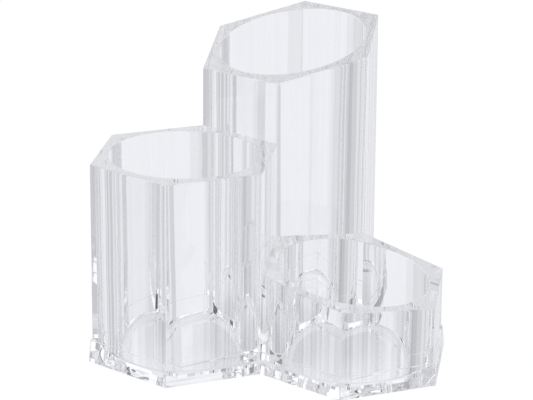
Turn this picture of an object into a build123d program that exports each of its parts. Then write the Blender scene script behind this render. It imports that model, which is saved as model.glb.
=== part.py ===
"""A clear brush holder: three hexagonal cups of stepped height, bonded to one flared plinth.

The cups stand like cells of a honeycomb: each shares one side face with each of the other two,
and all three meet in one corner. Each cup is hexagonal outside and round inside, and its bore
runs on into a round well in the plinth, whose bottom is the cup's floor.
"""

import os
from dataclasses import dataclass
from math import cos, radians, sin, tan

from build123d import *

# Driving dimensions, in millimetres and degrees
side = 44.0  # of each hexagonal cup at its foot, so also the distance of its corners from its axis
bore_radius = 33.4  # of the round bore of each cup, where it opens out of the plinth
bore_draft = 0.15  # the bores widen upwards by this angle
wall_draft = 0.25  # the outer faces lean in by this angle, but not the faces that two cups share
floor_height = 3.4  # of the floor of each bore
floor_fillet = 1.2  # all round each floor
plinth_height = 10.2
plinth_ledge = 0.75  # how far the plinth's top edge stands out past the cups
plinth_flare = 1.5  # how far its foot does
foot_height = 2.2  # of the upright band that ends the flare
foot_width = 16.0  # of the flat rim that the plinth stands on, round the recess under it
recess_depth = 1.4
corner_fillet = 0.6  # on the upright corners between free faces
rim_fillet = 0.4
ledge_fillet = 0.3
trim_allowance = 1.0  # how far a cup's blank stands above the highest point of its slanted rim

# The corner on the floor where all three cups meet. It lies a quarter side in front of the middle.
junction = Vector(0, -side / 4)
face_turn = 60  # degrees from one side face of a hexagon to the next
apothem = side * cos(radians(face_turn / 2))


@dataclass
class Cup:
    """Where a hexagonal cup stands, and how its rim is cut."""

    name: str
    direction: float  # of its axis, seen from the junction
    rim_height: float  # on its axis, above the floor
    rim_slope: float
    rim_rises_to: float  # the direction in which the rim climbs
    shared_faces: tuple  # the directions that its shared faces look in

    @property
    def axis(self) -> Vector:
        return junction + Vector(side, 0).rotate(Axis.Z, self.direction)

    @property
    def rim_plane(self) -> Plane:
        uphill = Vector(1, 0, 0).rotate(Axis.Z, self.rim_rises_to)
        normal = Vector(0, 0, 1) - uphill * tan(radians(self.rim_slope))
        return Plane(origin=self.axis + Vector(0, 0, self.rim_height), z_dir=normal)

    def face_distance(self, direction: float, height: float) -> float:
        """How far a side face is from the axis: a free face leans in as it rises."""
        if direction in self.shared_faces:
            return apothem
        return apothem - (height - plinth_height) * tan(radians(wall_draft))

    def corners(self, height: float) -> list:
        """The six corners of the outside at a height, each where two neighbouring faces meet."""
        found = []
        for direction in range(0, 360, face_turn):
            here = self.face_distance(direction, height)
            there = self.face_distance((direction + face_turn) % 360, height)
            along = (there - here * cos(radians(face_turn))) / sin(radians(face_turn))
            found.append(self.axis + Vector(here, along).rotate(Axis.Z, direction))
        return found


cups = [
    Cup("tall_cup", 90, 128.7, 12.7, 58, (240, 300)),
    Cup("medium_cup", 210, 92.7, 0.0, 0, (0, 60)),
    Cup("short_cup", 330, 42.1, 8.6, 160, (120, 180)),
]
cup_axes = [cup.axis for cup in cups]

os.makedirs("parts", exist_ok=True)

# The plinth: the outline of the three cups, flared down to its foot, with three round wells and a
# shallow recess underneath that leaves a flat rim to stand on
well_radius = bore_radius - (plinth_height - floor_height) * tan(radians(bore_draft))

with BuildPart() as base_plinth:
    with BuildSketch() as footprint:
        with Locations(cup_axes):
            RegularPolygon(radius=side, side_count=6, rotation=face_turn / 2)
        offset(amount=plinth_flare, kind=Kind.INTERSECTION)
    extrude(amount=foot_height)
    with BuildSketch(Plane.XY.offset(foot_height)):
        add(footprint.sketch)
    with BuildSketch(Plane.XY.offset(plinth_height)):
        with Locations(cup_axes):
            RegularPolygon(radius=side, side_count=6, rotation=face_turn / 2)
        offset(amount=plinth_ledge, kind=Kind.INTERSECTION)
    loft(ruled=True)
    ledge = base_plinth.faces().sort_by(Axis.Z)[-1]
    fillet(ledge.edges(), radius=ledge_fillet)
    with BuildSketch(Plane.XY.offset(floor_height)):
        with Locations(cup_axes):
            Circle(well_radius)
    extrude(amount=plinth_height - floor_height, taper=-bore_draft, mode=Mode.SUBTRACT)
    floors = base_plinth.faces().filter_by(Plane.XY).group_by(Axis.Z)[1]
    fillet(floors.edges(), radius=floor_fillet)
    with BuildSketch():
        add(footprint.sketch)
        offset(amount=-foot_width, kind=Kind.INTERSECTION)
    extrude(amount=recess_depth, mode=Mode.SUBTRACT)
base_plinth.part.label = "base_plinth"
export_step(base_plinth.part, "parts/base_plinth.step")

# The cups: hexagonal outside, with a round bore right through that opens into the plinth's well
for cup in cups:
    blank_top = cup.rim_height + side * tan(radians(cup.rim_slope)) + trim_allowance
    with BuildPart() as body:
        for height in (plinth_height, blank_top):
            with BuildSketch(Plane.XY.offset(height)):
                Polygon(*cup.corners(height))
        loft(ruled=True)
        uprights = body.edges().group_by(Axis.Z)[1]  # above the edges at the foot, below the top's
        free_corners = uprights.sort_by_distance(junction)[3:]  # the nearest three touch a neighbour
        fillet(free_corners, radius=corner_fillet)
        with BuildSketch(Plane.XY.offset(plinth_height)):
            with Locations(cup.axis):
                Circle(bore_radius)
        extrude(amount=blank_top - plinth_height, taper=-bore_draft, mode=Mode.SUBTRACT)
        split(bisect_by=cup.rim_plane, keep=Keep.BOTTOM)
        rim = body.faces().sort_by(Axis.Z)[-1]
        fillet(rim.edges(), radius=rim_fillet)
    body.part.label = cup.name
    export_step(body.part, f"parts/{cup.name}.step")
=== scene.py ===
"""The looks of a clear brush holder: three hexagonal cups of stepped height on one flared plinth.

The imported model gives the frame: metres, the origin on the table under the middle of the plinth,
+Z up, the tall cup towards +Y, the medium one towards -X and the short one towards +X. Each of its
four solids is replaced by a finer mesh of the same shape, with rounded edges and the slow
unevenness of moulded plastic. Lengths are in metres and angles in degrees, unless a comment says
otherwise.
"""

import logging
from collections.abc import Sequence
from dataclasses import dataclass
from enum import Enum, IntEnum
from functools import cached_property
from math import cos, pi, radians, sin, tan

import bmesh
import bpy
import numpy as np
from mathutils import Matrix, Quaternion, Vector

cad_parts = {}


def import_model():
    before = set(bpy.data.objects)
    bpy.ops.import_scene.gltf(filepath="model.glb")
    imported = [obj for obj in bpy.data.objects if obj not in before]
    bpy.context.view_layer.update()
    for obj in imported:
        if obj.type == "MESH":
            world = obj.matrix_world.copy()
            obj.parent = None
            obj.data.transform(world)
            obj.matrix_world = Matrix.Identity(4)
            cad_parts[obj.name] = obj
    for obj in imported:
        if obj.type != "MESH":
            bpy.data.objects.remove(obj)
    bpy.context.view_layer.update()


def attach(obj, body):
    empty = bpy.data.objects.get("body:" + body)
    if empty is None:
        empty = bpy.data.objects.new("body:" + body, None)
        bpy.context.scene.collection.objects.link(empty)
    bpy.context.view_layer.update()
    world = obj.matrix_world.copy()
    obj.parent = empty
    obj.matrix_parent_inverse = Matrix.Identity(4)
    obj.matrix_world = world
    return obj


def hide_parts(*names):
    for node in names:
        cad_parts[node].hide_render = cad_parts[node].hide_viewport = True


log = logging.getLogger("brush_holder")

MM = 0.001
FACE_TURN = 60.0  # degrees from one side face of a hexagon to the next
MERGE_DISTANCE = 2e-7  # metres, within which points of joined grids are one
THINNEST_EDGE = 1e-8  # metres, under which an edge is closed up
SHARP_ANGLE = 35.0  # degrees between two faces, past which their edge is shaded sharp

# The five waves that unevenness() adds up
WAVE_DIRECTIONS = np.array([
    [0.5, 0.3, 0.81], [-0.4, 0.6, 0.69], [0.2, -0.7, 0.68], [0.8, 0.5, -0.33], [-0.6, 0.1, 0.79],
])
WAVE_NUMBERS = np.array([1.0, 1.37, 1.9, 2.6, 3.3])  # how many of each are as long as the longest
WAVE_SHARES = np.array([0.34, 0.26, 0.18, 0.13, 0.09])  # of the depth
WAVE_DELAY = 1.7  # radians, from each wave to the next

Colour = tuple[float, float, float]
Steps = tuple[tuple[float, float], ...]  # pairs of a place from 0 to 1 and a brightness there

WHITE: Colour = (1.0, 1.0, 1.0)
COOL_LIGHT: Colour = (0.975, 0.98, 1.02)  # what the plastic sees of the room and of the table


class Skin(IntEnum):
    """The material slots of every piece."""

    OUTSIDE = 0
    BOND = 1


class Slot(Enum):
    """The record's material slots."""

    CUP = "cup_clear"
    PLINTH = "plinth_clear"


# ---------------------------------------------------------------------------------------------
# Shader nodes


@dataclass(frozen=True)
class Link:
    """An output of a shader node, on which Python's operators add Math nodes."""

    nodes: "Nodes"
    socket: bpy.types.NodeSocket

    def _math(self, operation: str, a: "Link | float", b: "Link | float") -> "Link":
        """Adds a Math node on two values, and returns its output."""
        return self.nodes.add("ShaderNodeMath", {"operation": operation}, {0: a, 1: b})

    def __add__(self, other: "Link | float") -> "Link":
        """The sum of both."""
        return self._math("ADD", self, other)

    def __mul__(self, other: "Link | float") -> "Link":
        """The product of both."""
        return self._math("MULTIPLY", self, other)

    def __or__(self, other: "Link | float") -> "Link":
        """The larger of both, which joins two masks."""
        return self._math("MAXIMUM", self, other)

    __radd__ = __add__
    __rmul__ = __mul__
    __ror__ = __or__


class Nodes:
    """The node tree of a material or a world, emptied and built anew."""

    def __init__(self, owner: bpy.types.Material | bpy.types.World) -> None:
        """Empties the owner's node tree.

        Args:
            owner: The material or the world.
        """
        owner.use_nodes = True
        self.tree = owner.node_tree
        self.tree.nodes.clear()

    def add(
        self, kind: str, settings: dict | None = None, inputs: dict | None = None, out: str | int = 0
    ) -> Link:
        """Adds a node.

        Args:
            kind: The node's type.
            settings: Its properties, set first. A ramp's "stops" are pairs of position and colour,
                and its "interpolation" says how it goes from one to the next.
            inputs: A value or a link for each of its sockets, by name or number.
            out: The output that is wanted.

        Returns:
            That output.
        """
        node = self.tree.nodes.new(kind)
        for name, value in (settings or {}).items():
            if name == "stops":
                self._set_stops(node.color_ramp, value)
            elif name == "interpolation":
                node.color_ramp.interpolation = value
            else:
                setattr(node, name, value)
        for name, value in (inputs or {}).items():
            if isinstance(value, Link):
                self.tree.links.new(value.socket, node.inputs[name])
            else:
                node.inputs[name].default_value = value
        return Link(self, node.outputs[out] if node.outputs else None)

    def mix_colour(self, factor: Link, a: Colour | Link, b: Colour | Link, blend: str = "MIX") -> Link:
        """Mixes two colours.

        Args:
            factor: From 0, which gives the first colour, to 1, which gives the blend of both.
            a: The first colour.
            b: The second.
            blend: "MIX" gives the second colour itself, and "DARKEN" the darker of both.

        Returns:
            The mixed colour.
        """
        # Of the Mix node's many sockets, inputs 6 and 7 and output 2 are those for colours
        ends = {socket: end if isinstance(end, Link) else (*end, 1.0) for socket, end in ((6, a), (7, b))}
        settings = {"data_type": "RGBA", "blend_type": blend}
        return self.add("ShaderNodeMix", settings, {0: factor, **ends}, out=2)

    def shade(self, place: Link, steps: Steps, tint: Colour, interpolation: str = "LINEAR") -> Link:
        """Gives each place from 0 to 1 a shade of a tint.

        Args:
            place: The place.
            steps: Pairs of a place and the brightness there, in order of place.
            tint: The colour at a brightness of 1.
            interpolation: How the shade goes from one step to the next.

        Returns:
            The shade.
        """
        stops = [(at, tuple(brightness * part for part in tint)) for at, brightness in steps]
        settings = {"interpolation": interpolation, "stops": stops}
        return self.add("ShaderNodeValToRGB", settings, {"Fac": place})

    @staticmethod
    def _set_stops(ramp: bpy.types.ColorRamp, stops: Sequence[tuple[float, Colour]]) -> None:
        """Gives a colour ramp its stops.

        Args:
            ramp: The ramp.
            stops: Pairs of position and colour, in order of position.
        """
        while len(ramp.elements) < len(stops):
            ramp.elements.new(1.0)
        for element, (position, colour) in zip(ramp.elements, stops):
            element.position, element.color = position, (*colour, 1.0)


# ---------------------------------------------------------------------------------------------
# Finishes


@dataclass(frozen=True)
class ClearPlastic:
    """Polished clear plastic, faintly cool, with a trace of handling haze in patches."""

    name: str
    tint: Colour = (0.99, 0.991, 0.995)
    haze_tint: Colour = (0.98, 0.982, 0.988)
    ior: float = 1.49
    haze_roughness: float = 0.01
    haze_scale: float = 70.0  # cells to a metre
    haze_detail: float = 3.0
    haze_edges: tuple[float, float] = (0.5, 0.75)  # the noise at which it sets in, and is full

    def material(self) -> bpy.types.Material:
        """Builds the material.

        Returns:
            The material.
        """
        made = bpy.data.materials.new(self.name)
        nodes = Nodes(made)
        place = nodes.add("ShaderNodeTexCoord", out="Object")
        cells = {"Vector": place, "Scale": self.haze_scale, "Detail": self.haze_detail}
        noise = nodes.add("ShaderNodeTexNoise", {}, cells)
        haze = nodes.shade(noise, tuple(zip(self.haze_edges, (0.0, 1.0))), WHITE)
        gloss = {
            "Base Color": nodes.mix_colour(haze, self.tint, self.haze_tint),
            "Roughness": haze * self.haze_roughness,
            "IOR": self.ior,
            "Transmission Weight": 1.0,
        }
        shader = nodes.add("ShaderNodeBsdfPrincipled", {}, gloss)
        nodes.add("ShaderNodeOutputMaterial", {}, {"Surface": shader})
        return made


@dataclass(frozen=True)
class Bond:
    """The plane where two clear pieces are one: light crosses it unbent."""

    name: str = "clear_bond"

    def material(self) -> bpy.types.Material:
        """Builds the material.

        Returns:
            The material.
        """
        made = bpy.data.materials.new(self.name)
        nodes = Nodes(made)
        shader = nodes.add("ShaderNodeBsdfTransparent")
        nodes.add("ShaderNodeOutputMaterial", {}, {"Surface": shader})
        return made


# ---------------------------------------------------------------------------------------------
# Outlines


@dataclass(frozen=True)
class Face:
    """An upright side face: it looks in a direction, in degrees, at a distance from a cup's axis."""

    axis: tuple[float, float]
    direction: float
    shared: bool

    @property
    def normal(self) -> tuple[float, float]:
        """The direction as a unit vector."""
        return cos(radians(self.direction)), sin(radians(self.direction))


@dataclass(frozen=True)
class Outline:
    """A closed row of side faces seen from above, sampled in columns that a mesh can follow.

    A column stands on a face, at a share of its straight part, or on the rounded corner that
    follows that face, at a share of its turn. Corners between free faces are rounded, and those
    beside a shared face, or in a notch between two cups, are sharp.
    """

    faces: tuple[Face, ...]
    apothem: float
    draft: float
    draft_from: float  # the height above which the free faces lean in
    columns_per_face: int = 36
    columns_per_corner: int = 5
    close_column: float = 0.006  # the share of a face, from each end, of its closest column

    def _round_after(self, index: int) -> bool:
        """True if the corner after a face is a rounded one."""
        here, following = self.faces[index], self.faces[(index + 1) % len(self.faces)]
        return here.axis == following.axis and not (here.shared or following.shared)

    @cached_property
    def columns(self) -> tuple[np.ndarray, np.ndarray, np.ndarray]:
        """The face of each column, its share of the straight part, and its share of the corner.

        The straight shares are those of equal angles about the cup's axis, so that the columns of
        a round bore inside are evenly spaced, with one more close to each end.

        Returns:
            Three arrays, with one value for each column.
        """
        half_turn = radians(FACE_TURN / 2)
        even = np.linspace(-half_turn, half_turn, self.columns_per_face + 1)[1:-1]
        shares = (np.tan(even) / tan(half_turn) + 1) / 2
        straight = np.concatenate([[0.0, self.close_column], shares, [1 - self.close_column]])
        corner = np.arange(1, self.columns_per_corner) / self.columns_per_corner
        face, along, turned = [], [], []
        for index in range(len(self.faces)):
            ends = [1.0] if self._round_after(index) else []
            arc = corner if ends else corner[:0]
            count = len(straight) + len(ends) + len(arc)
            face.append(np.full(count, index))
            along.append(np.concatenate([straight, ends, np.ones(len(arc))]))
            turned.append(np.concatenate([np.zeros(len(straight) + len(ends)), arc]))
        return np.concatenate(face), np.concatenate(along), np.concatenate(turned)

    @cached_property
    def shared_columns(self) -> np.ndarray:
        """For each column, True if the strip from it to the next one lies on a shared face."""
        return np.array([face.shared for face in self.faces])[self.columns[0]]

    def at(
        self, height: np.ndarray | float, outset: np.ndarray | float, rounding: np.ndarray | float
    ) -> np.ndarray:
        """Works out the columns' places at some heights.

        Each face is a line, at the apothem less its draft plus the outset from the axis. Corners
        are where the lines of neighbouring faces cross. A rounded corner is an arc that touches
        both lines, with its centre behind the corner by radius / cos(half the turn).

        Args:
            height: A height for each row, or for each row and column.
            outset: How far the outline is moved outwards, likewise.
            rounding: The radius of the rounded corners, likewise.

        Returns:
            An array of rows by columns by 2.
        """
        face, along, turned = self.columns
        height, outset, rounding = np.broadcast_arrays(
            *(np.atleast_2d(np.asarray(value, float)) for value in (height, outset, rounding)),
            np.zeros((1, len(face))),
        )[:3]
        normals = np.array([each.normal for each in self.faces])
        foot = np.array([np.dot(each.axis, each.normal) for each in self.faces]) + self.apothem
        free = np.array([not each.shared for each in self.faces])
        lean = (height - self.draft_from) * tan(radians(self.draft))
        count = len(self.faces)

        def line(index: np.ndarray) -> tuple[np.ndarray, np.ndarray]:
            """The normal and the distance of the lines of some faces."""
            return normals[index], foot[index] - free[index] * lean + outset

        def crossing(first: tuple, second: tuple) -> np.ndarray:
            """Where the lines of two rows of faces cross.

            Args:
                first: Their normals and distances.
                second: Those of the faces that they are crossed with.

            Returns:
                The points.
            """
            (a, c), (b, d) = first, second
            area = a[:, 0] * b[:, 1] - a[:, 1] * b[:, 0]
            x, y = (c * b[:, 1] - d * a[:, 1]) / area, (d * a[:, 0] - c * b[:, 0]) / area
            return np.stack([x, y], axis=-1)

        before, here, after = line((face - 1) % count), line(face), line((face + 1) % count)
        start, end = crossing(before, here), crossing(here, after)
        rounded = np.array([self._round_after(index) for index in range(count)])
        cut = rounding[..., None] * tan(radians(FACE_TURN / 2))
        unit = np.stack([-here[0][:, 1], here[0][:, 0]], axis=-1)
        start_cut = start + unit * cut * rounded[(face - 1) % count][:, None]
        end_cut = end - unit * cut * rounded[face][:, None]
        straight = start_cut + (end_cut - start_cut) * along[:, None]
        directions = np.array([each.direction for each in self.faces])
        angle = np.radians(directions[face] + FACE_TURN * turned)
        middle = (here[0] + after[0]) / (1 + (here[0] * after[0]).sum(-1, keepdims=True))
        arc = end + rounding[..., None] * (np.stack([np.cos(angle), np.sin(angle)], axis=-1) - middle)
        return np.where((turned > 0)[:, None], arc, straight)


# ---------------------------------------------------------------------------------------------
# Meshes


def unevenness(points: np.ndarray, depth: float, wave: float) -> np.ndarray:
    """How far moulded plastic sinks in at some points, in slow waves.

    A wave is the sine of the place along its direction, and each is shorter than the one before.
    The depth is half of the deepest, and half of it again times the sum of the waves by share.

    Args:
        points: An array of points, with 3 as its last axis.
        depth: The deepest that it sinks.
        wave: The length of the longest wave.

    Returns:
        The depth at each point.
    """
    lengths = wave / WAVE_NUMBERS
    delays = np.arange(len(lengths)) * WAVE_DELAY
    waves = np.sin(2 * pi * (points @ WAVE_DIRECTIONS.T) / lengths + delays)
    return depth * (0.5 + 0.5 * (waves @ WAVE_SHARES))


def grid_faces(rows: int, columns: int, closed: bool) -> np.ndarray:
    """The corners of a grid's quads, whose columns run round and close.

    Args:
        rows: How many rows of points there are.
        columns: How many columns.
        closed: True if the last row joins the first again.

    Returns:
        An array of quads by 4, row by row.
    """
    row, column = np.meshgrid(np.arange(rows if closed else rows - 1), np.arange(columns), indexing="ij")
    above, beside = (row + 1) % rows, (column + 1) % columns
    corners = ((row, column), (row, beside), (above, beside), (above, column))
    return np.stack([at * columns + across for at, across in corners], axis=-1).reshape(-1, 4)


@dataclass
class Sheet:
    """A grid of points, row by column, and the material slot of each of its quads."""

    points: np.ndarray
    skins: np.ndarray
    closed: bool = False


def mesh_of(name: str, sheets: Sequence[Sheet]) -> bpy.types.Mesh:
    """Joins grids into one mesh, merges the points where they meet, and shades it.

    Args:
        name: The mesh's name.
        sheets: The grids, each with its columns running round, anticlockwise from outside.

    Returns:
        The mesh, smooth but for its sharp edges.
    """
    points, faces, skins, start = [], [], [], 0
    for sheet in sheets:
        rows, columns = sheet.points.shape[:2]
        points.append(sheet.points.reshape(-1, 3))
        faces.append(grid_faces(rows, columns, sheet.closed) + start)
        skins.append(sheet.skins.reshape(-1))
        start += rows * columns
    mesh = bpy.data.meshes.new(f"clear_{name}")
    mesh.from_pydata(np.concatenate(points), [], np.concatenate(faces))
    mesh.polygons.foreach_set("material_index", np.concatenate(skins).astype(np.int32))
    work = bmesh.new()
    work.from_mesh(mesh)
    bmesh.ops.remove_doubles(work, verts=work.verts, dist=MERGE_DISTANCE)
    bmesh.ops.dissolve_degenerate(work, edges=work.edges, dist=THINNEST_EDGE)
    log.info("%s: %d open edges", name, sum(not edge.is_manifold for edge in work.edges))
    work.to_mesh(mesh)
    work.free()
    mesh.shade_smooth()
    mesh.set_sharp_from_angle(angle=radians(SHARP_ANGLE))
    return mesh


# ---------------------------------------------------------------------------------------------
# The holder


@dataclass(frozen=True)
class Sizes:
    """The sizes that the cups and the plinth have in common, in metres and degrees."""

    side: float = 44.0 * MM
    bore_radius: float = 33.4 * MM
    bore_draft: float = 0.15
    wall_draft: float = 0.25
    floor_height: float = 3.4 * MM
    floor_fillet: float = 1.2 * MM
    plinth_height: float = 10.2 * MM
    plinth_ledge: float = 0.75 * MM
    plinth_flare: float = 1.5 * MM
    foot_height: float = 2.2 * MM
    foot_width: float = 16.0 * MM  # of the flat rim that the plinth stands on, round its recess
    recess_depth: float = 1.4 * MM
    corner_fillet: float = 0.6 * MM
    rim_fillet: float = 0.4 * MM
    ledge_fillet: float = 0.3 * MM

    @property
    def apothem(self) -> float:
        """How far a side face is from its cup's axis."""
        return self.side * cos(radians(FACE_TURN / 2))

    @property
    def junction(self) -> tuple[float, float]:
        """Where all three cups meet."""
        return 0.0, -self.side / 4

    def bore_at(self, height: np.ndarray | float) -> np.ndarray:
        """The radius of a cup's bore, or of the well under it, at a height."""
        return self.bore_radius + (height - self.plinth_height) * tan(radians(self.bore_draft))


@dataclass(frozen=True)
class HexagonalCup:
    """One cup: hexagonal outside, round inside, cut off at its rim by a level or slanted plane."""

    name: str
    direction: float  # of its axis, seen from the junction
    rim_height: float  # on its axis
    rim_slope: float
    rim_rises_to: float  # the direction in which the rim climbs
    shared_faces: tuple[float, float]  # the directions that they look in
    sizes: Sizes = Sizes()
    wall_rows: int = 44
    fillet_rows: int = 6
    close_row: float = 0.015  # from the rim's edges to the next row, as a share of the way to go
    land_rows: tuple[float, ...] = (0.04, 0.35, 0.65, 0.96)  # shares of the way across the rim
    well_rows: int = 5
    floor_fillet_rows: int = 12
    floor_rings: tuple[float, ...] = (0.985, 0.8, 0.6, 0.4, 0.2, 0.0)  # shares of the flat floor's radius
    face_sink: float = 0.05 * MM  # the deepest that the free faces sink in, in slow waves
    face_wave: float = 38 * MM
    bore_sink: float = 0.12 * MM
    bore_wave: float = 52 * MM
    true_edge: float = 9 * MM  # from the foot and the rim, the height over which the waves set in

    @cached_property
    def axis(self) -> tuple[float, float]:
        """Where the cup's axis stands.

        Returns:
            Its x and y, a side away from the junction.
        """
        x, y = self.sizes.junction
        turn = radians(self.direction)
        return x + self.sizes.side * cos(turn), y + self.sizes.side * sin(turn)

    @cached_property
    def outline(self) -> Outline:
        """The cup's six side faces.

        Returns:
            The outline, whose free faces lean in above the plinth.
        """
        turns = np.arange(0.0, 360.0, FACE_TURN)
        faces = tuple(Face(self.axis, turn, turn in self.shared_faces) for turn in turns)
        return Outline(faces, self.sizes.apothem, self.sizes.wall_draft, self.sizes.plinth_height)

    @cached_property
    def bore_angles(self) -> np.ndarray:
        """The direction in which each column stands, seen from the axis."""
        foot = self.outline.at(self.sizes.plinth_height, 0.0, self.sizes.corner_fillet)[0] - self.axis
        return np.arctan2(foot[:, 1], foot[:, 0])

    def rim_at(self, plan: np.ndarray) -> np.ndarray:
        """The height of the rim's plane over some points of the plan."""
        uphill = np.array([cos(radians(self.rim_rises_to)), sin(radians(self.rim_rises_to))])
        return self.rim_height + tan(radians(self.rim_slope)) * ((plan - self.axis) @ uphill)

    def waves_at(self, heights: np.ndarray, top: np.ndarray) -> np.ndarray:
        """How much of the unevenness shows at some heights: none at the foot and the top.

        A smooth step, 3 x^2 - 2 x^3, where x is the product of how far a height is from the foot
        and from the top, each as a share of the true edge and at most 1.

        Args:
            heights: The heights, row by column.
            top: The height at which each column ends.

        Returns:
            A share from 0 to 1 for each height.
        """
        above_foot, below_top = heights - self.sizes.plinth_height, top - heights
        share = np.clip(above_foot / self.true_edge, 0, 1) * np.clip(below_top / self.true_edge, 0, 1)
        return share * share * (3 - 2 * share)

    def circle(self, radius: np.ndarray | float) -> np.ndarray:
        """Points at a radius from the axis, one for each column."""
        unit = np.stack([np.cos(self.bore_angles), np.sin(self.bore_angles)], axis=-1)
        return np.asarray(self.axis) + np.asarray(radius)[..., None] * unit

    def mesh(self, neighbours: Sequence["HexagonalCup"]) -> bpy.types.Mesh:
        """Builds the wall as one closed grid.

        Its rows climb the outside, cross the rim and go down the bore, and the last joins the
        first again under the foot.

        Args:
            neighbours: The cup on the other side of each shared face.

        Returns:
            The mesh.
        """
        # The faces lean, so the rim's edge is looked for again at the height first found for it
        corner = self.sizes.corner_fillet
        edge = self.outline.at(self.rim_height, 0.0, corner)[0]
        edge = self.outline.at(self.rim_at(edge), 0.0, corner)[0]
        top = self.rim_at(edge) - self.sizes.rim_fillet
        outside, rim = self._outside(top, self._split(top, neighbours)), self._rim(top)
        points = np.concatenate([outside, rim, self._bore(rim[-1, :, 2])])
        # What touches a neighbour, up to the split, and the foot, which touches the plinth
        skins = np.full(points.shape[:2], Skin.OUTSIDE)
        skins[: len(outside) // 2 - 1, self.outline.shared_columns] = Skin.BOND
        skins[-1] = Skin.BOND
        return mesh_of(self.name, [Sheet(points, skins, closed=True)])

    def _outside(self, top: np.ndarray, split: np.ndarray) -> np.ndarray:
        """The rows that climb the outside, half of them below the split and half above.

        The free faces sink in by the unevenness times the sine of pi times the share of their
        width, so that their corners stay where they are, and less near the foot and the top.

        Args:
            top: The height at which each column ends.
            split: The height at which its upper half starts.

        Returns:
            An array of rows by columns by 3.
        """
        outline, foot, corner = self.outline, self.sizes.plinth_height, self.sizes.corner_fillet
        lower = np.linspace(0, 1, self.wall_rows // 2)
        upper = np.append(lower[1:-1], [1 - self.close_row, 1])
        heights = np.concatenate([
            foot + (split - foot) * lower[:, None],
            split + (top - split) * upper[:, None],
        ])
        even = np.dstack([outline.at(heights, 0.0, corner), heights])
        depth = np.sin(pi * outline.columns[1]) * ~outline.shared_columns * self.waves_at(heights, top)
        sunk = unevenness(even, self.face_sink, self.face_wave) * depth
        return np.dstack([outline.at(heights, -sunk, corner), heights])

    def _rim(self, top: np.ndarray) -> np.ndarray:
        """The rows over the rim: round its outer edge, across its flat land, round its inner edge.

        Both edges are quarter rounds. At a turn of t they have moved in by radius * (1 - cos t),
        and are radius * (1 - sin t) below the rim's plane.

        Args:
            top: The height at which each column's outer edge starts.

        Returns:
            An array of rows by columns by 3.
        """
        s = self.sizes
        turn = np.linspace(0, pi / 2, self.fillet_rows + 1)[:, None]
        inset, drop = s.rim_fillet * (1 - np.cos(turn)), s.rim_fillet * (1 - np.sin(turn))
        heights = np.repeat(top[None], self.fillet_rows, axis=0)
        plan = self.outline.at(heights, -inset[1:], s.corner_fillet - inset[1:])
        outer_edge = np.dstack([plan, self.rim_at(plan) - drop[1:]])

        mouth = s.bore_at(self.rim_at(self.circle(s.bore_radius)))
        across = np.array(self.land_rows)[:, None, None]
        start, end = plan[-1], self.circle(mouth + s.rim_fillet)
        plan = start + (end - start) * across
        land = np.dstack([plan, self.rim_at(plan)])

        plan = self.circle(mouth + inset[::-1])
        inner_edge = np.dstack([plan, self.rim_at(plan) - drop[::-1]])
        return np.concatenate([outer_edge, land, inner_edge])

    def _bore(self, lip: np.ndarray) -> np.ndarray:
        """The rows down the bore, whose radius at a height grows by the unevenness there.

        Args:
            lip: The height at which each column starts.

        Returns:
            An array of rows by columns by 3.
        """
        down = np.append(self.close_row, np.linspace(0, 1, self.wall_rows)[1:])[:, None]
        heights = lip + (self.sizes.plinth_height - lip) * down
        radius = self.sizes.bore_at(heights)
        even = np.dstack([self.circle(radius), heights])
        sunk = unevenness(even, self.bore_sink, self.bore_wave) * self.waves_at(heights, lip)
        return np.dstack([self.circle(radius + sunk), heights])

    def _split(self, top: np.ndarray, neighbours: Sequence["HexagonalCup"]) -> np.ndarray:
        """The height up to which each column of a shared face touches the neighbour's wall.

        It is the neighbour's rim less its fillet, or this cup's own where that is lower. On the
        free faces its share of the wall's height runs evenly from one shared face to the next.

        Args:
            top: The height at which each column's rim fillet starts.
            neighbours: The cup on the other side of each shared face.

        Returns:
            A height for each column.
        """
        face, foot = self.outline.columns[0], self.sizes.plinth_height
        plan = self.outline.at(foot, 0.0, 0.0)[0]
        share = np.full(len(face), np.nan)
        for turn, other in zip(self.shared_faces, neighbours):
            on_face = face == round(turn / FACE_TURN)
            on_face |= np.roll(on_face, 1)
            touching = np.fmin(top, other.rim_at(plan) - self.sizes.rim_fillet)
            share[on_face] = ((touching - foot) / (top - foot))[on_face]
        known, every = np.flatnonzero(~np.isnan(share)), np.arange(len(face))
        return foot + (top - foot) * np.interp(every, known, share[known], period=len(face))

    def well(self) -> Sheet:
        """The plinth's top under the cup's wall, and the round well and floor inside it.

        The rows run from the cup's outline in to the well, down its wall, round the floor's
        fillet, and over the floor to its middle.

        Returns:
            The grid.
        """
        s = self.sizes
        plan = self.outline.at(s.plinth_height, 0.0, s.corner_fillet)
        top = np.dstack([plan, np.full(plan.shape[:2], s.plinth_height)])
        start = s.floor_height + s.floor_fillet
        heights = np.linspace(s.plinth_height, start, self.well_rows)
        turn = np.linspace(0, pi / 2, self.floor_fillet_rows + 1)[1:]
        radii = s.bore_at(start) - s.floor_fillet * (1 - np.cos(turn))
        flat = radii[-1] * np.array(self.floor_rings)
        radius = np.concatenate([s.bore_at(heights), radii, flat])
        floor = np.full(len(flat), s.floor_height)
        height = np.concatenate([heights, start - s.floor_fillet * np.sin(turn), floor])
        plan = self.circle(np.repeat(radius[:, None], len(self.bore_angles), axis=1))
        inside = np.dstack([plan, np.repeat(height[:, None], plan.shape[1], axis=1)])
        points = np.concatenate([top, inside])
        skins = np.full((len(points) - 1, points.shape[1]), Skin.OUTSIDE)
        skins[0] = Skin.BOND
        return Sheet(points, skins)


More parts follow.
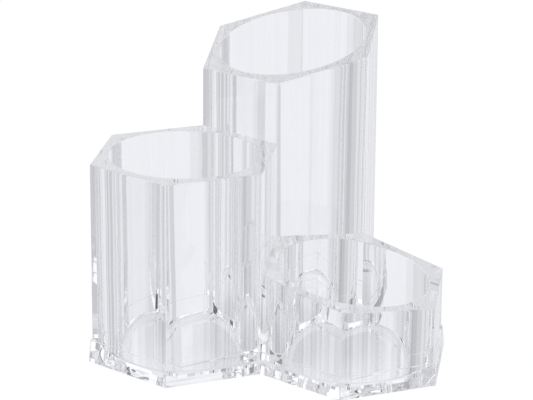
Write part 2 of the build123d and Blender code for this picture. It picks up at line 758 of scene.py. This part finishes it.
@dataclass(frozen=True)
class Plinth:
    """The flared plinth under all three cups, with a round well under each."""

    name: str
    cups: Sequence[HexagonalCup]
    sizes: Sizes = Sizes()
    foot_edge: float = 0.02 * MM  # the chamfer under the foot
    foot_top_row: float = 0.9  # the share of the foot band's height of its last row but one
    flare_rows: int = 9
    ledge_rows: int = 5
    recess_rings: tuple[float, ...] = (0.0, 0.5, 1.0)  # shares of the way to the recess's wall

    @cached_property
    def outline(self) -> Outline:
        """The plinth's side faces, anticlockwise from the notch in front.

        Under each cup it has that cup's four free faces, two on each side of the direction in
        which the cup stands.

        Returns:
            The outline, which doesn't lean.
        """
        faces = []
        for cup in sorted(self.cups, key=lambda each: (each.direction + 90) % 360):
            for turns in (-1.5, -0.5, 0.5, 1.5):
                faces.append(Face(cup.axis, (cup.direction + turns * FACE_TURN) % 360, False))
        return Outline(tuple(faces), self.sizes.apothem, 0.0, 0.0)

    def skirt(self) -> Sheet:
        """The recess underneath, the foot's flat rim and upright band, the flare and the ledge.

        The rows run from the middle of the recess out to its wall, down that and out under the
        rim to the foot, up the band, in and up the straight flare, round the ledge's fillet and
        in to the cups.

        Returns:
            The grid.
        """
        s = self.sizes
        flare_top = s.plinth_height - s.ledge_fillet
        slope = (s.plinth_flare - s.plinth_ledge) / (s.plinth_height - s.foot_height)
        climb = np.linspace(0, 1, self.flare_rows)
        turn = np.linspace(0, pi / 2, self.ledge_rows + 1)[1:]
        heights = np.concatenate([
            [0.0, self.foot_edge, s.foot_height * self.foot_top_row],
            s.foot_height + (flare_top - s.foot_height) * climb,
            flare_top + s.ledge_fillet * np.sin(turn),
            [s.plinth_height],
        ])
        top_outset = s.plinth_flare - slope * (flare_top - s.foot_height)
        outsets = np.concatenate([
            [s.plinth_flare - self.foot_edge, s.plinth_flare, s.plinth_flare],
            s.plinth_flare + (top_outset - s.plinth_flare) * climb,
            top_outset - s.ledge_fillet * (1 - np.cos(turn)),
            [0.0],
        ])
        plan = self.outline.at(heights[:, None], outsets[:, None], s.corner_fillet)
        sides = np.dstack([plan, np.repeat(heights[:, None], plan.shape[1], axis=1)])
        edge = self.outline.at(0.0, s.plinth_flare - s.foot_width, 0.0)[0]
        low = np.column_stack([edge, np.zeros(len(edge))])[None]
        high = low + [0.0, 0.0, s.recess_depth]
        middle = np.array([*s.junction, s.recess_depth])
        recess = middle + (high - middle) * np.array(self.recess_rings)[:, None, None]
        points = np.concatenate([recess, low, sides])
        return Sheet(points, np.full((len(points) - 1, points.shape[1]), Skin.OUTSIDE))

    def mesh(self) -> bpy.types.Mesh:
        """Joins the skirt and the three wells, and returns the mesh."""
        return mesh_of(self.name, [self.skirt(), *(cup.well() for cup in self.cups)])


@dataclass(frozen=True)
class BrushHolder:
    """The whole holder: three cups and the plinth that they stand on."""

    tall: HexagonalCup = HexagonalCup(
        "tall_cup",
        direction=90.0,
        rim_height=128.67 * MM,  # 0.03 mm under the CAD's rim, so that it stays within the CAD's box
        rim_slope=12.7,
        rim_rises_to=58.0,
        shared_faces=(240.0, 300.0),
    )
    medium: HexagonalCup = HexagonalCup(
        "medium_cup",
        direction=210.0,
        rim_height=92.7 * MM,
        rim_slope=0.0,
        rim_rises_to=0.0,
        shared_faces=(0.0, 60.0),
    )
    short: HexagonalCup = HexagonalCup(
        "short_cup",
        direction=330.0,
        rim_height=42.1 * MM,
        rim_slope=8.6,
        rim_rises_to=160.0,
        shared_faces=(120.0, 180.0),
    )

    @cached_property
    def plinth(self) -> Plinth:
        """The plinth under the three cups."""
        return Plinth("base_plinth", (self.tall, self.medium, self.short))

    def build(self) -> list[bpy.types.Object]:
        """Builds the four pieces, each in place of its CAD solid.

        Returns:
            The pieces.
        """
        tall, medium, short, plinth = self.tall, self.medium, self.short, self.plinth
        bond = Bond().material()
        cup_skins = ClearPlastic("clear_cup_plastic").material(), bond
        plinth_skins = ClearPlastic("clear_plinth_plastic").material(), bond
        return [
            self._place(plinth.name, plinth.mesh(), plinth_skins, Slot.PLINTH),
            self._place(tall.name, tall.mesh((medium, short)), cup_skins, Slot.CUP),
            self._place(medium.name, medium.mesh((short, tall)), cup_skins, Slot.CUP),
            self._place(short.name, short.mesh((tall, medium)), cup_skins, Slot.CUP),
        ]

    @staticmethod
    def _place(
        node: str, mesh: bpy.types.Mesh, materials: Sequence[bpy.types.Material], slot: Slot
    ) -> bpy.types.Object:
        """Puts a piece in place of the CAD node that it stands for.

        Args:
            node: The CAD node.
            mesh: The piece's mesh.
            materials: The material of each skin, in the skins' order.
            slot: The record's slot that the piece stands for. It is not used.

        Returns:
            The piece.
        """
        for material in materials:
            mesh.materials.append(material)
        piece = bpy.data.objects.new(f"clear_{node}", mesh)
        bpy.context.scene.collection.objects.link(piece)
        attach(piece, "root")
        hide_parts(node)
        return piece


# ---------------------------------------------------------------------------------------------
# The studio


@dataclass(frozen=True)
class Panel:
    """A stretch of the room as the plastic sees it, up to where the next one starts."""

    start: float  # the direction, in degrees anticlockwise from +X
    brightness: float


@dataclass(frozen=True)
class Table:
    """The white table, a little under the plinth's foot.

    The camera sees it evenly white, but for the shadow on a small share of real surface. Rays that
    come off or through the plastic see it only where the plinth covers it, as a glowing painted light
    and shadow of the holder: pale under the walls, and fainter under the wells, where a painted shade
    darkens it towards the junction. Elsewhere they pass through it to the room.
    """

    cup_axes: Sequence[tuple[float, float]]
    junction: tuple[float, float]
    height: float = -0.3 * MM
    reach: float = 1.5  # metres, half the table's side
    cloth: Colour = (0.86, 0.865, 0.9)
    shadow_share: float = 0.05
    glow: float = 1.03  # makes up for what the shadowed share loses
    covered: float = 41.5 * MM  # the radius, round each cup's axis, that the plinth covers
    # Painted light and shadow under the plinth, which glow on the table for the plastic's rays
    well_shares: Steps = ((0.0, 0.6), (0.72, 0.6), (0.8, 0.0))  # by the share of that radius
    wall_shares: Steps = ((0.0, 0.0), (0.72, 0.0), (0.8, 0.95), (0.97, 0.95), (1.0, 0.0))
    painted_wall_light: float = 0.76
    well_light_reach: float = 80 * MM  # from the junction, where the steps of the wells' light end
    # The wells' painted light, a painted shade that darkens towards the junction where the cups meet
    painted_well_light: Steps = ((0.0, 0.45), (0.4, 0.5), (0.58, 0.68), (0.8, 0.85), (1.0, 0.95))

    def _distance(self, nodes: Nodes, place: Link, point: tuple[float, float]) -> Link:
        """How far a place on the table is from a point of it."""
        ends = {0: place, 1: (*point, self.height)}
        return nodes.add("ShaderNodeVectorMath", {"operation": "DISTANCE"}, ends, out="Value")

    def _painted_light_under_plinth(self, nodes: Nodes) -> Link:
        """Paints light and shadow of the holder on the table, as the plastic sees it.

        Each painted light is mixed in by its share at the distance from each cup's axis, first that of
        the wells and then that of the walls.

        Args:
            nodes: The table's node tree.

        Returns:
            The shader.
        """
        place = nodes.add("ShaderNodeTexCoord", out="Object")
        # Painted shade: the wells' glow darkens towards the junction
        from_junction = self._distance(nodes, place, self.junction) * (1 / self.well_light_reach)
        painted_well_light = nodes.shade(from_junction, self.painted_well_light, COOL_LIGHT)
        painted_wall_light = (*(self.painted_wall_light * part for part in COOL_LIGHT), 1.0)
        seen = nodes.add("ShaderNodeBsdfTransparent")
        for shares, light in ((self.well_shares, painted_well_light), (self.wall_shares, painted_wall_light)):
            glow = nodes.add("ShaderNodeEmission", {}, {"Color": light})
            for axis in self.cup_axes:
                way_out = self._distance(nodes, place, axis) * (1 / self.covered)
                share = nodes.shade(way_out, shares, WHITE)
                seen = nodes.add("ShaderNodeMixShader", {}, {0: share, 1: seen, 2: glow})
        return seen

    def _material(self) -> bpy.types.Material:
        """Builds the table's material.

        Returns:
            The material.
        """
        made = bpy.data.materials.new("white_table")
        nodes = Nodes(made)
        glossy = nodes.add("ShaderNodeLightPath", out="Is Glossy Ray")
        transmitted = nodes.add("ShaderNodeLightPath", out="Is Transmission Ray")
        plain = nodes.add("ShaderNodeEmission", {}, {"Color": (*WHITE, 1.0), "Strength": self.glow})
        cloth = nodes.add("ShaderNodeBsdfDiffuse", {}, {"Color": (*self.cloth, 1.0)})
        top = nodes.add("ShaderNodeMixShader", {}, {0: 1 - self.shadow_share, 1: cloth, 2: plain})
        # Glossy and transmitted rays see the painted light and shadow under the plinth
        layers = {0: glossy | transmitted, 1: top, 2: self._painted_light_under_plinth(nodes)}
        surface = nodes.add("ShaderNodeMixShader", {}, layers)
        nodes.add("ShaderNodeOutputMaterial", {}, {"Surface": surface})
        return made

    def build(self) -> None:
        """Makes the table, as one square."""
        corners = self.reach * np.array([[-1, -1], [1, -1], [1, 1], [-1, 1]])
        mesh = bpy.data.meshes.new("table")
        mesh.from_pydata(np.column_stack([corners, np.full(4, self.height)]), [], [(0, 1, 2, 3)])
        mesh.materials.append(self._material())
        table = bpy.data.objects.new("table", mesh)
        bpy.context.scene.collection.objects.link(table)


@dataclass(frozen=True)
class Room:
    """The world: plain white to the camera, and a room of panels by direction to the plastic.

    The panels stand in three rings by height: level and below, a little above, and higher. Behind
    the holder they are pale, and at the sides and in front greyer, with a few narrow light and
    dark ones. Heights are those of a ray of length 1.
    """

    level_ends: tuple[float, float] = (-0.06, 0.06)  # the heights between which the rings blend
    low_ends: tuple[float, float] = (0.265, 0.285)
    band: tuple[float, float] = (0.33, 0.03)  # the middle and half the width of a dimmer band
    band_light: float = 0.87  # the most that it gives
    level: tuple[Panel, ...] = (
        Panel(-180, 0.55), Panel(-167, 0.15), Panel(-160, 0.88), Panel(-150, 0.75), Panel(-143, 0.62),
        Panel(-125, 0.88), Panel(-110, 0.7), Panel(-60, 0.5), Panel(-42, 1.15), Panel(-37, 0.65),
        Panel(-35, 0.2), Panel(-32, 0.7), Panel(-25, 0.88), Panel(-18, 0.6), Panel(-12, 0.42),
        Panel(-7, 0.6), Panel(0, 0.48), Panel(8, 0.55), Panel(20, 0.65), Panel(40, 0.78),
        Panel(55, 0.62), Panel(62, 0.75), Panel(80, 0.84), Panel(87, 0.91), Panel(130, 0.68),
        Panel(138, 0.88), Panel(143, 0.6), Panel(150, 0.8), Panel(157, 0.62), Panel(166, 0.8),
        Panel(175, 0.5),
    )
    low: tuple[Panel, ...] = (
        Panel(-180, 0.6), Panel(-90, 0.75), Panel(-35, 0.3), Panel(48, 0.5), Panel(64, 0.95),
        Panel(115, 0.75), Panel(150, 0.45),
    )
    high: tuple[Panel, ...] = (
        Panel(-180, 0.6), Panel(-165, 0.75), Panel(-75, 0.85), Panel(-30, 0.65), Panel(-15, 0.4),
        Panel(15, 1.15), Panel(62, 0.08), Panel(72, 0.68), Panel(88, 1.08), Panel(98, 0.95),
        Panel(105, 1.25), Panel(122, 0.7), Panel(135, 0.3), Panel(165, 0.7),
    )

    def _around(self, nodes: Nodes, direction: Link, panels: tuple[Panel, ...]) -> Link:
        """Colours what lies in each direction round the holder.

        The angle of a direction's x and y gives the place on a ramp that steps from panel to panel.

        Args:
            nodes: The world's node tree.
            direction: The direction of each ray.
            panels: One ring's panels, in order from -180 degrees.

        Returns:
            The colour.
        """
        x, y = (nodes.add("ShaderNodeSeparateXYZ", {}, {0: direction}, out=part) for part in (0, 1))
        turn = nodes.add("ShaderNodeMath", {"operation": "ARCTAN2"}, {0: y, 1: x}) * (0.5 / pi) + 0.5
        steps = tuple(((panel.start + 180) / 360, panel.brightness) for panel in panels)
        return nodes.shade(turn, steps, COOL_LIGHT, "CONSTANT")

    def _as_seen_by_plastic(self, nodes: Nodes) -> Link:
        """Joins the three rings by height, and dims the band.

        Args:
            nodes: The world's node tree.

        Returns:
            The colour.
        """
        direction = nodes.add("ShaderNodeTexCoord", out="Generated")
        height = nodes.add("ShaderNodeSeparateXYZ", {}, {0: direction}, out=2)
        above_level, above_low = (
            nodes.add("ShaderNodeMapRange", {}, {"Value": height, 1: start, 2: end, 3: 0.0, 4: 1.0})
            for start, end in (self.level_ends, self.low_ends)
        )
        rings = (self.level, self.low, self.high)
        level, low, high = (self._around(nodes, direction, panels) for panels in rings)
        room = nodes.mix_colour(above_level, level, nodes.mix_colour(above_low, low, high))
        middle, half = self.band
        in_band = nodes.add("ShaderNodeMath", {"operation": "COMPARE"}, {0: height, 1: middle, 2: half})
        dimmed = tuple(self.band_light * part for part in COOL_LIGHT)
        return nodes.mix_colour(in_band, room, dimmed, "DARKEN")

    def build(self) -> None:
        """Makes the world."""
        world = bpy.data.worlds.new("studio")
        bpy.context.scene.world = world
        nodes = Nodes(world)
        seen = nodes.add("ShaderNodeLightPath", out="Is Camera Ray")
        colour = nodes.mix_colour(seen, self._as_seen_by_plastic(nodes), WHITE)
        background = nodes.add("ShaderNodeBackground", {}, {"Color": colour})
        nodes.add("ShaderNodeOutputWorld", {}, {"Surface": background})


@dataclass(frozen=True)
class Viewpoint:
    """Where the photograph was taken from, fitted to the object's outline in it."""

    aim: tuple[float, float, float] = (-0.160692, 1.021258, -0.300582)  # on the line of sight
    distance: float = 2.0877  # from there back to the camera
    azimuth: float = 0.15  # radians, as are the next two
    elevation: float = 0.3373
    roll: float = 0.0081
    lens: float = 146.48  # in mm, as is the sensor's width
    sensor: float = 36.0
    clip_end: float = 20.0

    def build(self) -> None:
        """Makes the camera and sets it as the scene's."""
        turn, rise = self.azimuth, self.elevation
        back = Vector((sin(turn) * cos(rise), -cos(turn) * cos(rise), sin(rise)))
        data = bpy.data.cameras.new("camera")
        data.sensor_width, data.lens, data.clip_end = self.sensor, self.lens, self.clip_end
        camera = bpy.data.objects.new("camera", data)
        bpy.context.scene.collection.objects.link(camera)
        camera.rotation_mode = "QUATERNION"
        camera.rotation_quaternion = back.to_track_quat("Z", "Y") @ Quaternion((0, 0, 1), self.roll)
        camera.location = Vector(self.aim) + back * self.distance
        bpy.context.scene.camera = camera


def set_light_paths(total: int = 48, each: int = 40) -> None:
    """Lets light cross the plastic's many faces, and leaves colours as they are written.

    Args:
        total: The most bounces of a ray.
        each: The most of each kind, and of the clear joints that it may cross.
    """
    scene = bpy.context.scene
    scene.view_settings.view_transform = "Standard"
    scene.cycles.max_bounces = total
    scene.cycles.glossy_bounces = scene.cycles.transmission_bounces = each
    scene.cycles.transparent_max_bounces = each


def main() -> None:
    """Builds the holder and its studio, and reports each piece."""
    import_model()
    holder = BrushHolder()
    for piece in holder.build():
        log.info("%s: %d faces", piece.name, len(piece.data.polygons))
    cups = holder.plinth.cups
    Table([cup.axis for cup in cups], cups[0].sizes.junction).build()
    Room().build()
    Viewpoint().build()
    set_light_paths()


if __name__ == "__main__":
    logging.basicConfig(level=logging.INFO, format="%(name)s: %(message)s")
    main()
